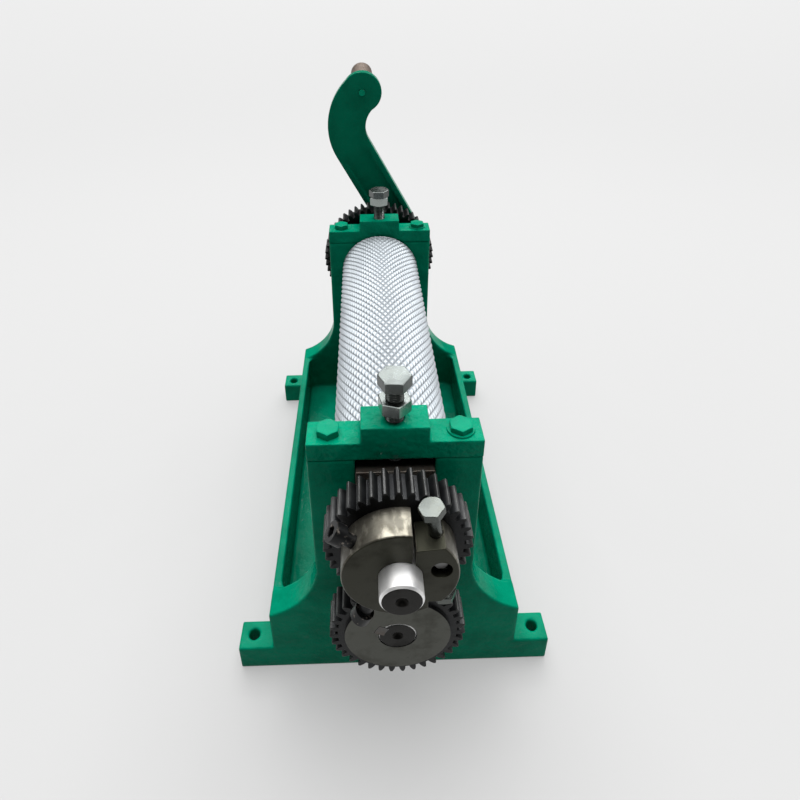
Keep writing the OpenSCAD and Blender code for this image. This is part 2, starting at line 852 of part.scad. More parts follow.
module lock_nut(side) {
    index = (side < 0) ? 0 : 1;
    color(zinc)
        translate([0, side * plate_mid_y, boss_top + nut_rise[index]])
            difference() {
                rotate([0, 0, nut_turn[index]])
                    hex_head(screw_d, nut_t - fit_gap);
                translate([0, 0, -1])
                    cylinder(h = nut_t + 2, r = screw_d / 2 + fit_gap);
            }
}
module lock_nut_near() { lock_nut(-1); }
module lock_nut_far() { lock_nut(1); }

frame();
bearing_cap_near();
bearing_cap_far();
cap_bolt_near_left();
cap_bolt_near_right();
cap_bolt_far_left();
cap_bolt_far_right();
lower_block_near();
lower_block_far();
lower_bush_near();
lower_bush_far();
upper_block_near();
upper_block_far();
upper_bush_near();
upper_bush_far();
upper_roller();
upper_shaft();
lower_roller();
lower_shaft();
upper_timing_gear();
lower_timing_gear();
lower_gear_key();
timing_hub();
hub_key();
timing_stud();
timing_bolt_upper();
timing_bolt_lower();
hub_clamp_screw_upper();
hub_clamp_screw_lower();
drive_gear();
drive_gear_key();
drive_gear_ring();
crank_pinion();
crank_bush();
crank_key();
crank_arm();
crank_washer();
crank_bolt();
grip_spindle();
grip_sleeve();
grip_washer();
pressure_screw_near();
pressure_screw_far();
lock_nut_near();
lock_nut_far();
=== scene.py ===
"""Visible surfaces, finishes and studio for a bench roller press with an embossed pair of rollers.

The frame stands on four lugs. The near end carries the two timing gears and the split hub,
the far end the reduction gears and the crank. Everything is in metres.
"""

import json
import math

import bmesh
import bpy
from bpy.props import FloatProperty, FloatVectorProperty, IntProperty, PointerProperty
from bpy.types import Operator, Panel, PropertyGroup
from mathutils import Matrix, Vector


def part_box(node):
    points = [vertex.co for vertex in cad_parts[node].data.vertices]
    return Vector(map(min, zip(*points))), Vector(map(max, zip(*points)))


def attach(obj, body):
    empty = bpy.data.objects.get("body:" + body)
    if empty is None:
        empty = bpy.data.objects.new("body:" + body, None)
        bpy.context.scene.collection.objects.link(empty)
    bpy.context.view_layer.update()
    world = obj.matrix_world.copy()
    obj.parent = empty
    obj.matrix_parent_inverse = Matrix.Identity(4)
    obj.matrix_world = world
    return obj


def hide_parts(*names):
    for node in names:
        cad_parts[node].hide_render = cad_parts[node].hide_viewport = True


bl_info = {
    "name": "Embossing Press Looks",
    "version": (1, 0, 0),
    "blender": (4, 5, 0),
    "location": "3D View > Sidebar > Press",
    "description": "Castings, rollers, gears, fastenings and studio of a bench roller press",
    "category": "Object",
}

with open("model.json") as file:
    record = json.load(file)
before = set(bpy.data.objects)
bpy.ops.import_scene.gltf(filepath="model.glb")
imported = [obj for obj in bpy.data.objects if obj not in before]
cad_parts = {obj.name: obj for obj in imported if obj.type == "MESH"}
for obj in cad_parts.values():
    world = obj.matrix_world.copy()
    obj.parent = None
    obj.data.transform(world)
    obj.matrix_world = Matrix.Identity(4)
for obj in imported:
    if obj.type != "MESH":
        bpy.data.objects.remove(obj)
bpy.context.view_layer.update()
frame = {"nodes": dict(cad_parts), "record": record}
BODIES = frame["record"]["behaviour"]["bodies"]

# Heights of the two rollers' axes and the radius out to their crests, from their own boxes.
LOWER_AXIS_Z = sum(corner.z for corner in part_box("lower_roller")) / 2
UPPER_AXIS_Z = sum(corner.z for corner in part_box("upper_roller")) / 2
ROLLER_CREST = (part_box("upper_roller")[1].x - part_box("upper_roller")[0].x) / 2
ENDS = ("near", "far")
SIDES = ("left", "right")

# Colours that belong to one part or one kind of wear, and some that paint shade and highlights onto parts.
# Painted shade: the near-black of the shafts' near end faces and centre holes.
SHAFT_END_SHADE = (0.013, 0.0125, 0.011)
BLOCK_STEEL = (0.085, 0.078, 0.068)
GEAR_BOSS_STEEL = (0.078, 0.080, 0.068)
# Painted shade: the dark steel of the hub's front, its pocket and its flat.
HUB_SHADE_STEEL = (0.030, 0.030, 0.021)
GRIP_STEEL = (0.115, 0.085, 0.065)
DUSTY_ENAMEL = (0.06, 0.22, 0.15)
# The tooth tips' colour: part rubbed wear, part painted glint.
RUBBED_GLINT_OXIDE = (0.10, 0.10, 0.097)
RUBBED_SCREW = (0.16, 0.14, 0.12)
RUSTY_OIL = (0.085, 0.06, 0.04)


# ---------- sizes and colours ----------


def length_setting(name, description, default, low, high):
    """A length that the user can change."""
    return FloatProperty(
        name=name, description=description, default=default, min=low, max=high, unit="LENGTH"
    )


def power_setting(name, description, default, high):
    """A light's power that the user can change."""
    return FloatProperty(name=name, description=description, default=default, min=0.0, soft_max=high)


def colour_setting(name, description, default):
    """A colour that the user can change."""
    return FloatVectorProperty(
        name=name, description=description, default=default, size=3, min=0.0, max=1.0, subtype="COLOR"
    )


class CastingLooks(PropertyGroup):
    """Enamelled castings"""

    frame_grain: length_setting(
        "Frame grain", "Size of the facets that the frame's cast surface is built from", 0.0012, 0.0008, 0.004
    )
    small_grain: length_setting(
        "Small grain", "Size of the facets of the caps and the crank arm", 0.0008, 0.0005, 0.002
    )
    softening: IntProperty(
        name="Softening",
        description="Rounds of smoothing that turn sharp edges into cast ones",
        default=5,
        min=0,
        max=20,
    )
    enamel: colour_setting("Enamel", "Colour of the green enamel", (0.0004, 0.180, 0.100))
    enamel_deep: colour_setting("Deep enamel", "Colour where the enamel lies thick", (0.0002, 0.138, 0.076))


class RollerLooks(PropertyGroup):
    """Embossed rollers"""

    pads_around: IntProperty(
        name="Pads around",
        description="Number of pads in one ring round a roller",
        default=50,
        min=20,
        max=120,
    )
    groove_depth: length_setting("Groove depth", "Depth of the grooves between pads", 0.0013, 0.0002, 0.003)
    alloy: colour_setting("Alloy", "Colour of the rollers' bare alloy", (0.34, 0.37, 0.395))


class SteelLooks(PropertyGroup):
    """Gears, shafts and fastenings"""

    broken_edge: length_setting(
        "Broken edge", "Width of the chamfer on the gears' edges", 0.0004, 0.0001, 0.0015
    )
    thread_depth: length_setting(
        "Thread depth", "Depth of the pressure screws' thread", 0.0009, 0.0002, 0.002
    )
    thread_pitch: length_setting(
        "Thread pitch", "Rise of the pressure screws' thread in one turn", 0.00175, 0.0005, 0.004
    )
    oxide: colour_setting("Black oxide", "Colour of the blackened gears", (0.0075, 0.0080, 0.0085))
    bare_steel: colour_setting("Bare steel", "Colour of freshly turned steel", (0.90, 0.90, 0.89))
    hub_steel: colour_setting("Hub steel", "Colour of the hub's oily turned steel", (0.105, 0.099, 0.081))
    zinc: colour_setting("Zinc", "Colour of the plated screws", (0.088, 0.098, 0.097))
    bronze: colour_setting("Bronze", "Colour of the bearing bushes", (0.24, 0.13, 0.05))


class StudioLooks(PropertyGroup):
    """Floor and lights"""

    floor_grey: FloatProperty(
        name="Floor",
        description="Lightness of the floor",
        default=0.17,
        min=0.0,
        max=1.0,
        subtype="FACTOR",
    )
    sky_power: power_setting(
        "Ceiling light", "Strength of the wide even light from above, in watts per square metre", 7.8, 20.0
    )
    glint_power: power_setting(
        "Glint lights", "Power of each small light that gives the enamel its glints, in watts", 0.85, 200.0
    )
    side_power: power_setting(
        "Side lights", "Power of each tall light beside the press, in watts", 1.6, 100.0
    )


# ---------- shader nodes ----------


class Value:
    """A number that varies over a surface: the output of a node, with arithmetic."""

    def __init__(self, finish, socket):
        self.finish = finish
        self.socket = socket

    def _math(self, operation, *inputs):
        return self.finish.node("ShaderNodeMath", {"operation": operation}, *inputs)

    def __add__(self, other):
        return self._math("ADD", self, other)

    __radd__ = __add__

    def __sub__(self, other):
        return self._math("SUBTRACT", self, other)

    def __rsub__(self, other):
        return self._math("SUBTRACT", other, self)

    def __mul__(self, other):
        return self._math("MULTIPLY", self, other)

    __rmul__ = __mul__

    def between(self, low, high):
        """0 below low, 1 above high and a smooth rise from one to the other."""
        settings = {"interpolation_type": "SMOOTHSTEP", "clamp": True}
        return self.finish.node("ShaderNodeMapRange", settings, self, low, high, 0.0, 1.0)


class Finish:
    """One material, built from nodes."""

    def __init__(self, name):
        self.material = bpy.data.materials.new(name)
        self.material.use_nodes = True
        self.tree = self.material.node_tree
        self.tree.nodes.clear()

    def node(self, kind, settings=None, *inputs, output=0, **named):
        """A node of that kind: its settings go in first, then its sockets, in order or by name."""
        made = self.tree.nodes.new(kind)
        for key, value in (settings or {}).items():
            setattr(made, key, value)
        open_sockets = [s for s in made.inputs if s.enabled]
        by_name = {s.name.replace(" ", "_"): s for s in reversed(open_sockets)}
        wanted = list(zip(open_sockets, inputs)) + [(by_name[k], v) for k, v in named.items()]
        for socket, value in wanted:
            if isinstance(value, Value):
                self.tree.links.new(value.socket, socket)
            elif value is not None:
                socket.default_value = value
        outputs = [s for s in made.outputs if s.enabled]
        return Value(self, outputs[output]) if outputs else made

    def place(self):
        """The point on the piece, in the press's own frame."""
        return self.node("ShaderNodeTexCoord", output=3)

    def noise(self, place, scale, detail, roughness=0.5):
        """Cloudy patches from 0 to 1, more of them to the metre at a larger scale."""
        return self.node("ShaderNodeTexNoise", None, place, Scale=scale, Detail=detail, Roughness=roughness)

    def streaks(self, along, scale):
        """Noise along one number, for the marks of a lathe tool."""
        settings = {"noise_dimensions": "1D"}
        return self.node("ShaderNodeTexNoise", settings, W=along, Scale=scale, Detail=3.0, Roughness=0.7)

    def mix(self, share, low, high):
        """One colour going over into another."""
        settings = {"data_type": "RGBA", "blend_type": "MIX"}
        return self.node("ShaderNodeMix", settings, share, colour(low), colour(high))

    def stretched(self, place, scale):
        """The point with each of its coordinates multiplied."""
        return self.node("ShaderNodeVectorMath", {"operation": "MULTIPLY"}, place, scale)

    def radius(self, place, axis_z):
        """Distance from an axis along Y at height axis_z."""
        centred = self.node("ShaderNodeVectorMath", {"operation": "SUBTRACT"}, place, (0.0, 0.0, axis_z))
        flat = self.stretched(centred, (1.0, 0.0, 1.0))
        return self.node("ShaderNodeVectorMath", {"operation": "LENGTH"}, flat)

    def along(self, place):
        """How far along Y a point lies."""
        return self.node("ShaderNodeSeparateXYZ", None, place, output=1)

    def bump(self, height, distance, strength, below=None):
        """Relief whose height runs up to distance, laid over the relief below it."""
        return self.node(
            "ShaderNodeBump", None, Strength=strength, Distance=distance, Height=height, Normal=below
        )

    def surface(self, **sockets):
        """The shader and the material's output."""
        shader = self.node("ShaderNodeBsdfPrincipled", None, **sockets)
        self.node("ShaderNodeOutputMaterial", None, shader)
        return self.material


def colour(value):
    """A colour with its alpha, or a link as it is."""
    return value if isinstance(value, Value) else (*value[:3], 1.0)


def shaded(value, factor):
    """A colour made lighter or darker."""
    return tuple(min(1.0, channel * factor) for channel in value[:3])


# ---------- finishes ----------


def enamel_finish(name, looks, lightness, lumps=1.0):
    """Glossy brushed-on enamel over a lumpy cast skin, deeper in places and dusty in others."""
    f = Finish(name)
    place = f.place()
    skin = f.noise(place, 95.0, 2.0)
    peel = f.noise(place, 300.0, 2.5)
    pits = f.noise(place, 900.0, 1.0)
    thick = f.noise(place, 38.0, 3.0).between(0.35, 0.7)
    dust = f.noise(place, 60.0, 4.0, 0.65).between(0.56, 0.80)
    body = f.mix(thick, shaded(looks.enamel, lightness), shaded(looks.enamel_deep, lightness))
    relief = f.bump(pits, 0.00005, 0.6)
    relief = f.bump(peel, 0.00042 * lumps, 0.9, relief)
    relief = f.bump(skin, 0.0012 * lumps, 0.8, relief)
    return f.surface(
        Base_Color=f.mix(dust * 0.05, body, DUSTY_ENAMEL),
        Roughness=0.08 + 0.10 * dust + 0.03 * pits,
        Normal=relief,
        Specular_IOR_Level=0.02,
    )


def alloy_finish(name, looks, axis_z):
    """Bare cast alloy with cut pads: bright crests, rougher grooves painted darker as shade, and a faint
    blotchy bloom.
    """
    f = Finish(name)
    place = f.place()
    grain = f.noise(place, 1400.0, 2.0)
    bloom = f.noise(f.stretched(place, (1.0, 0.35, 1.0)), 45.0, 3.0).between(0.3, 0.75)
    raised = f.radius(place, axis_z).between(ROLLER_CREST - looks.groove_depth, ROLLER_CREST - 0.0002)
    crest = f.mix(bloom, shaded(looks.alloy, 1.08), shaded(looks.alloy, 0.86))
    # The grooves take a darker copy of the alloy: painted shade.
    base = f.mix(raised, shaded(looks.alloy, 0.66), crest)
    return f.surface(
        Base_Color=base,
        Metallic=0.35,
        Roughness=0.38 + 0.12 * grain + 0.12 * (1 - raised),
        Normal=f.bump(grain, 0.00006, 0.7),
    )


def oxide_finish(name, looks, axis_z, tip):
    """Blackened steel with an oily film, rubbed bright at the tips of the teeth, where the lighter colour
    also paints the glints that the tips catch.
    """
    f = Finish(name)
    place = f.place()
    grain = f.noise(place, 700.0, 3.0)
    oil = f.noise(place, 85.0, 3.0).between(0.35, 0.65)
    # The tips near the outside radius: rubbed wear and painted glints in one.
    rubbed_and_highlit = f.radius(place, axis_z).between(tip - 0.0022, tip - 0.0001) * f.noise(place, 160.0, 3.0)
    base = f.mix(oil, shaded(looks.oxide, 1.7), shaded(looks.oxide, 0.8))
    base = f.mix(rubbed_and_highlit * 0.6, base, RUBBED_GLINT_OXIDE)
    return f.surface(
        Base_Color=base,
        Metallic=0.45 + 0.40 * rubbed_and_highlit,
        Roughness=0.28 + 0.22 * grain - 0.08 * oil,
        Normal=f.bump(grain, 0.00007, 0.8),
        Coat_Weight=oil * 0.08,
        Coat_Roughness=0.14,
        Specular_IOR_Level=0.12,
    )


def turned_finish(name, steel, axis_z, mark_depth, roughness, stain, rub=0.0):
    """Lathe-turned steel: tool rings round the axis, oil stains, rubbed patches that are part wear and part
    painted highlight, and small nicks.
    """
    f = Finish(name)
    place = f.place()
    travel = f.radius(place, axis_z) + f.along(place)
    rings = f.streaks(travel, 3200.0)
    fine = f.noise(place, 1300.0, 2.0)
    stains = f.noise(place, 70.0, 4.0, 0.6).between(0.45, 0.72)
    nicks = f.noise(place, 420.0, 1.0).between(0.73, 0.78)
    base = f.mix(rings, shaded(steel, 0.80), shaded(steel, 1.18))
    base = f.mix(stains * stain, base, shaded((steel[0], steel[1] * 0.9, steel[2] * 0.72), 0.4))
    if rub:
        # Bright patches: part rubbed wear, part painted highlight.
        rubbed_and_highlit = f.noise(f.stretched(place, (1.0, 0.5, 1.0)), 95.0, 4.0, 0.6).between(0.50, 0.66)
        base = f.mix(rubbed_and_highlit * rub, base, shaded(steel, 3.6))
    base = f.mix(nicks * 0.6, base, shaded(steel, 0.35))
    relief = f.bump(rings, mark_depth, 0.8, f.bump(nicks + fine * 0.15, 0.00008, 0.6))
    return f.surface(
        Base_Color=base,
        Metallic=0.9,
        Roughness=roughness + 0.16 * rings + 0.14 * stains,
        Normal=relief,
    )


def bush_finish(name, looks, axis_z):
    """Turned bronze with oil stains."""
    return turned_finish(name, looks.bronze, axis_z, mark_depth=0.00003, roughness=0.26, stain=0.45)


def plated_finish(name, steel, warmth):
    """Bright zinc plate, a little cloudy and dull in patches."""
    f = Finish(name)
    place = f.place()
    cloud = f.noise(place, 190.0, 3.0)
    fine = f.noise(place, 1500.0, 2.0)
    dull = f.noise(place, 60.0, 3.0).between(0.45, 0.7)
    base = f.mix(cloud, shaded(steel, 1.1), tuple(c * w for c, w in zip(steel, warmth)))
    return f.surface(
        Base_Color=f.mix(dull * 0.35, base, shaded(steel, 0.55)),
        Metallic=0.95,
        Roughness=0.17 + 0.14 * cloud + 0.10 * dull,
        Normal=f.bump(cloud + 0.3 * fine, 0.00010, 0.6),
    )


def milled_finish(name, steel, roughness):
    """Milled steel with a rust-brown oil film and straight cutter marks."""
    f = Finish(name)
    place = f.place()
    marks = f.noise(f.stretched(place, (1.0, 1.0, 14.0)), 260.0, 3.0)
    film = f.noise(place, 120.0, 4.0, 0.65).between(0.4, 0.7)
    base = f.mix(marks, shaded(steel, 0.7), shaded(steel, 1.25))
    return f.surface(
        Base_Color=f.mix(film * 0.6, base, RUSTY_OIL),
        Metallic=0.85,
        Roughness=roughness + 0.2 * marks,
        Normal=f.bump(marks, 0.00012, 0.8),
    )


def black_screw_finish(name, looks):
    """Heat-blackened screw steel, oily, rubbed brown here and there."""
    f = Finish(name)
    place = f.place()
    rub = f.noise(place, 240.0, 4.0, 0.7).between(0.56, 0.70)
    fine = f.noise(place, 1200.0, 2.0)
    return f.surface(
        Base_Color=f.mix(rub, shaded(looks.oxide, 0.8), RUBBED_SCREW),
        Metallic=0.6,
        Roughness=0.26 + 0.2 * fine + 0.1 * rub,
        Normal=f.bump(fine, 0.00005, 0.6),
    )


# ---------- mesh helpers ----------


def piece_from(bm, name, crease=32.0):
    """A new object that holds the mesh, shaded smooth except across edges sharper than crease degrees."""
    mesh = bpy.data.meshes.new(name)
    bm.to_mesh(mesh)
    bm.free()
    mesh.shade_smooth()
    mesh.set_sharp_from_angle(angle=math.radians(crease))
    piece = bpy.data.objects.new(name, mesh)
    bpy.context.scene.collection.objects.link(piece)
    return piece


def settle(piece):
    """Applies a piece's modifiers to its mesh."""
    bpy.context.view_layer.update()
    graph = bpy.context.evaluated_depsgraph_get()
    worked = bpy.data.meshes.new_from_object(piece.evaluated_get(graph), depsgraph=graph)
    piece.modifiers.clear()
    old = piece.data
    piece.data = worked
    bpy.data.meshes.remove(old)
    return piece


def shape_of(node):
    """A CAD node's solid as a clean editable mesh."""
    weld = 2e-6
    bm = bmesh.new()
    bm.from_mesh(frame["nodes"][node].data)
    bmesh.ops.remove_doubles(bm, verts=bm.verts, dist=weld)
    for layer in list(bm.loops.layers.float_vector):
        bm.loops.layers.float_vector.remove(layer)
    return bm


def cast_copy(node, name, grain, softening):
    """The node's shape with the soft corners and fillets of a sand casting."""
    piece = piece_from(shape_of(node), name)
    skin = piece.modifiers.new("Cast skin", "REMESH")
    skin.mode = "VOXEL"
    skin.voxel_size = grain
    skin.use_smooth_shade = True
    soft = piece.modifiers.new("Soft corners", "SMOOTH")
    soft.factor = 0.5
    soft.iterations = softening
    return settle(piece)


def machined_copy(node, name, edge, angle=30.0, steps=2, crease=32.0):
    """The node's shape with a small chamfer on every edge that turns by more than the angle."""
    bm = shape_of(node)
    flat = math.radians(0.4)
    bmesh.ops.dissolve_limit(
        bm, angle_limit=flat, use_dissolve_boundaries=False, verts=bm.verts, edges=bm.edges
    )
    limit = math.radians(angle)
    sharp = [e for e in bm.edges if len(e.link_faces) == 2 and e.calc_face_angle(0.0) > limit]
    bmesh.ops.bevel(
        bm,
        geom=sharp,
        offset=edge,
        offset_type="OFFSET",
        segments=steps,
        profile=0.5,
        affect="EDGES",
        clamp_overlap=False,
    )
    piece = piece_from(bm, name, crease)
    level = piece.modifiers.new("Flat faces", "WEIGHTED_NORMAL")
    level.keep_sharp = True
    return settle(piece)


def fit_out(piece, node, finish):
    """Hangs a piece on its body, hides the node it stands for and gives it its finish."""
    piece.data.materials.clear()
    piece.data.materials.append(finish)
    owner = next(name for name, members in BODIES.items() if node in members)
    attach(piece, owner)
    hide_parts(node)
    return piece


def dress(node, finish):
    """Gives a CAD node that stays as it is a better finish."""
    for slot in frame["nodes"][node].material_slots:
        slot.material = finish


def end_faces(piece, finish, beyond=0.0, bore=None):
    """Faces that look to the near end from beyond a distance take another finish.

    A bore is (x, z, radius): every face inside it takes the finish too, whichever way it looks.
    """
    piece.data.materials.append(finish)
    index = len(piece.data.materials) - 1
    square_on = -0.8
    for face in piece.data.polygons:
        if -face.center.y <= beyond:
            continue
        inside = bore and math.hypot(face.center.x - bore[0], face.center.z - bore[1]) < bore[2]
        if inside or face.normal.y < square_on:
            face.material_index = index


def join_rings(bm, rings, capped=True):
    """Walls from each ring of points to the next, and a cap on the first and the last."""
    for low, high in zip(rings, rings[1:]):
        for i in range(len(low)):
            j = (i + 1) % len(low)
            bm.faces.new((low[i], low[j], high[j], high[i]))
    if capped:
        bm.faces.new(list(reversed(rings[0])))
        bm.faces.new(rings[-1])


def hexagon(bm, base, flats, height, turn, both=False):
    """A hexagon standing on base: a head with its top corners turned off, or a nut with both ends so.

    The cone that turns them off starts a little inside the corners, and leaves a rim along each side.
    """
    points = 6 * 12
    corner_cut = 0.001
    rim = 0.0004
    sill = 0.0001
    cone_r = flats / math.sqrt(3) - corner_cut
    slope = math.tan(math.radians(30))
    rings = []
    for level in range(4):
        ring = []
        for i in range(points):
            angle = 2 * math.pi * i / points
            off_middle = (math.degrees(angle) % 60) - 30
            reach = flats / 2 / math.cos(math.radians(off_middle))
            end_r = min(reach - rim, cone_r)
            drop = (reach - end_r) * slope
            profile = (
                (end_r if both else reach, 0.0),
                (reach, drop if both else sill),
                (reach, height - drop),
                (end_r, height),
            )
            r, z = profile[level]
            spot = Vector((r * math.cos(angle + turn), r * math.sin(angle + turn), z))
            ring.append(bm.verts.new(base + spot))
        rings.append(ring)
    join_rings(bm, rings)


def threaded_rod(bm, foot, length, radius, pitch, depth):
    """A rod along Z from foot, with a real helical thread and a cone for its first millimetre."""
    sides = 40
    rows_per_turn = 8
    lead_in = 0.001
    crest_gain = 1.15
    rows = int(length / pitch * rows_per_turn) + 1
    rings = []
    for row in range(rows + 1):
        z = length * row / rows
        narrow = max(0.0, lead_in - z)
        ring = []
        for i in range(sides):
            phase = (z / pitch - i / sides) % 1.0
            crest = 1.0 - abs(phase * 2.0 - 1.0)
            r = radius - depth * (1.0 - min(1.0, crest * crest_gain)) - narrow
            angle = 2 * math.pi * i / sides
            ring.append(bm.verts.new(foot + Vector((r * math.cos(angle), r * math.sin(angle), z))))
        rings.append(ring)
    join_rings(bm, rings)


def lathe(bm, profile, axis_x, axis_z):
    """Turns a profile of (y, radius) pairs about an axis along Y."""
    sides = 96
    rings = []
    for y, r in profile:
        ring = []
        for i in range(sides):
            angle = 2 * math.pi * i / sides
            spot = (axis_x + r * math.cos(angle), y, axis_z - r * math.sin(angle))
            ring.append(bm.verts.new(spot))
        rings.append(ring)
    join_rings(bm, rings, capped=False)


# ---------- pieces ----------


class PRESS_OT_castings(Operator):
    """Frame and bearing caps in green enamel"""

    bl_idname = "press.castings"
    bl_label = "Frame and bearing caps"

    def execute(self, context):
        looks = context.scene.press_castings
        # The frame takes a slightly darker copy of the enamel than the caps: painted shade.
        body_enamel = enamel_finish("frame_enamel", looks, lightness=0.94)
        cap_enamel = enamel_finish("cap_enamel", looks, lightness=1.04, lumps=2.2)
        fewer_rounds = 2
        casting = cast_copy("frame", "frame_casting", looks.frame_grain, looks.softening - fewer_rounds)
        fit_out(casting, "frame", body_enamel)
        for end in ENDS:
            node = f"bearing_cap_{end}"
            cap = cast_copy(node, f"{node}_casting", looks.small_grain, looks.softening)
            fit_out(cap, node, cap_enamel)
        return {"FINISHED"}


class PRESS_OT_cap_bolts(Operator):
    """Four painted hexagon bolts that hold the caps down"""

    bl_idname = "press.cap_bolts"
    bl_label = "Cap bolts"

    def execute(self, context):
        paint = enamel_finish("cap_bolt_enamel", context.scene.press_castings, lightness=1.05)
        boss_rise = 0.012
        seat_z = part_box("bearing_cap_near")[1].z - boss_rise
        for end in ENDS:
            for side in SIDES:
                self.bolt(f"cap_bolt_{end}_{side}", seat_z, side == "right", paint)
        return {"FINISHED"}

    def bolt(self, node, seat_z, on_washer, paint):
        """One bolt with its own thread, its corners softened by the paint."""
        low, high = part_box(node)
        middle = (low + high) / 2
        flats = high.x - low.x
        seat = Vector((middle.x, middle.y, seat_z))
        foot = Vector((middle.x, middle.y, low.z))
        bm = bmesh.new()
        hexagon(bm, seat, flats, high.z - seat_z, math.radians(30))
        if on_washer:
            self.washer(bm, seat, flats)
        threaded_rod(bm, foot, seat_z - low.z, radius=0.004, pitch=0.00125, depth=0.0006)
        bolt = piece_from(bm, f"{node}_painted", crease=20.0)
        soft = bolt.modifiers.new("Paint thickness", "BEVEL")
        soft.width = 0.0004
        soft.segments = 2
        soft.limit_method = "ANGLE"
        soft.angle_limit = math.radians(35)
        fit_out(settle(bolt), node, paint)

    def washer(self, bm, seat, flats):
        """A thin washer, painted over with the bolt."""
        thickness = 0.0012
        made = bmesh.ops.create_cone(
            bm, cap_ends=True, segments=48, radius1=flats * 0.66, radius2=flats * 0.64, depth=thickness
        )
        bmesh.ops.translate(bm, vec=seat + Vector((0.0, 0.0, thickness / 2)), verts=made["verts"])


class PRESS_OT_rollers(Operator):
    """Pair of alloy rollers cut all over with four-sided pads"""

    bl_idname = "press.rollers"
    bl_label = "Embossed rollers"

    def execute(self, context):
        looks = context.scene.press_rollers
        for node, axis_z in (("upper_roller", UPPER_AXIS_Z), ("lower_roller", LOWER_AXIS_Z)):
            low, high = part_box(node)
            roller = self.embossed(node, looks, low.y, high.y, axis_z)
            fit_out(roller, node, alloy_finish(f"{node}_alloy", looks, axis_z))
        return {"FINISHED"}

    def embossed(self, node, looks, y0, y1, axis_z):
        """Low four-sided pads between two crossing sets of helical V grooves.

        A point that pads share is made once and found again by its place.
        """
        bm = bmesh.new()
        around = looks.pads_around
        spacing = 2 * math.pi * ROLLER_CREST / around
        row_step = spacing * math.sqrt(3) / 2
        rows = int((y1 - y0) / row_step) + 2
        seen = {}

        def point(y, turns, drop):
            y = min(max(y, y0), y1)
            key = (round(y * 2e5), round(turns * 60) % (around * 60), round(drop * 1e6))
            if key not in seen:
                angle = turns * 2 * math.pi / around
                r = ROLLER_CREST - drop
                seen[key] = bm.verts.new((r * math.sin(angle), y, axis_z + r * math.cos(angle)))
            return seen[key]

        def face(*corners):
            unique = list(dict.fromkeys(corners))
            if len(unique) > 2 and bm.faces.get(unique) is None:
                bm.faces.new(unique)

        # A pad from its foot up: its share of the full outline and how far it lies below the crest.
        levels = ((1.0, looks.groove_depth), (0.58, 0.00042), (0.34, 0.00012))
        # Its corners, in rows along the roller and pads round it.
        corners = ((1.0, 0.0), (0.0, 0.5), (-1.0, 0.0), (0.0, -0.5))
        for row in range(rows):
            cy = y0 + row * row_step
            if cy - row_step >= y1:
                continue
            for column in range(around):
                ca = column + 0.5 * (row % 2)
                rings = []
                for share, drop in levels:
                    ring = []
                    for dy, da in corners:
                        ring.append(point(cy + dy * share * row_step, ca + da * share, drop))
                    rings.append(ring)
                crest = point(cy, ca, 0.0)
                for outer, inner in zip(rings, rings[1:]):
                    for k in range(4):
                        j = (k + 1) % 4
                        face(outer[j], outer[k], inner[k], inner[j])
                for k in range(4):
                    face(crest, rings[2][(k + 1) % 4], rings[2][k])
        bmesh.ops.dissolve_degenerate(bm, dist=1e-6, edges=bm.edges)
        self.close_ends(bm, y0, y1, axis_z)
        bmesh.ops.recalc_face_normals(bm, faces=bm.faces)
        return piece_from(bm, f"{node}_embossed", crease=24.0)

    def close_ends(self, bm, y0, y1, axis_z):
        """A flat face on each end, which runs in to a radius inside the shaft."""
        inner_r = 0.012
        near_enough = 2e-5
        for y in (y0, y1):
            rim = []
            for edge in bm.edges:
                if edge.is_boundary and all(abs(v.co.y - y) < near_enough for v in edge.verts):
                    rim.append(edge)
            grown = bmesh.ops.extrude_edge_only(bm, edges=rim)["geom"]
            for vert in (g for g in grown if isinstance(g, bmesh.types.BMVert)):
                spoke = Vector((vert.co.x, 0.0, vert.co.z - axis_z))
                spoke = spoke.normalized() * inner_r
                vert.co = Vector((spoke.x, y, axis_z + spoke.z))


class PRESS_OT_shafts(Operator):
    """Roller shafts and the keys that drive them"""

    bl_idname = "press.shafts"
    bl_label = "Shafts and keys"

    def execute(self, context):
        looks = context.scene.press_steel
        for node, axis_z in (("upper_shaft", UPPER_AXIS_Z), ("lower_shaft", LOWER_AXIS_Z)):
            bright = turned_finish(
                f"{node}_steel", looks.bare_steel, axis_z, mark_depth=0.00003, roughness=0.32, stain=0.25
            )
            shaft = machined_copy(node, f"{node}_turned", edge=0.0003)
            fit_out(shaft, node, bright)
            # The near end faces and the centre hole take a near-black finish: painted shade.
            shaded_end = turned_finish(
                f"{node}_end", SHAFT_END_SHADE, axis_z, mark_depth=0.00005, roughness=0.34, stain=0.4
            )
            centre_hole = (0.0, axis_z, 0.0045)
            end_faces(shaft, shaded_end, beyond=0.2, bore=centre_hole)
        key_steel = milled_finish("key_steel", shaded(looks.bare_steel, 0.10), roughness=0.3)
        for node in ("drive_gear_key", "lower_gear_key", "hub_key", "crank_key"):
            dress(node, key_steel)
        return {"FINISHED"}


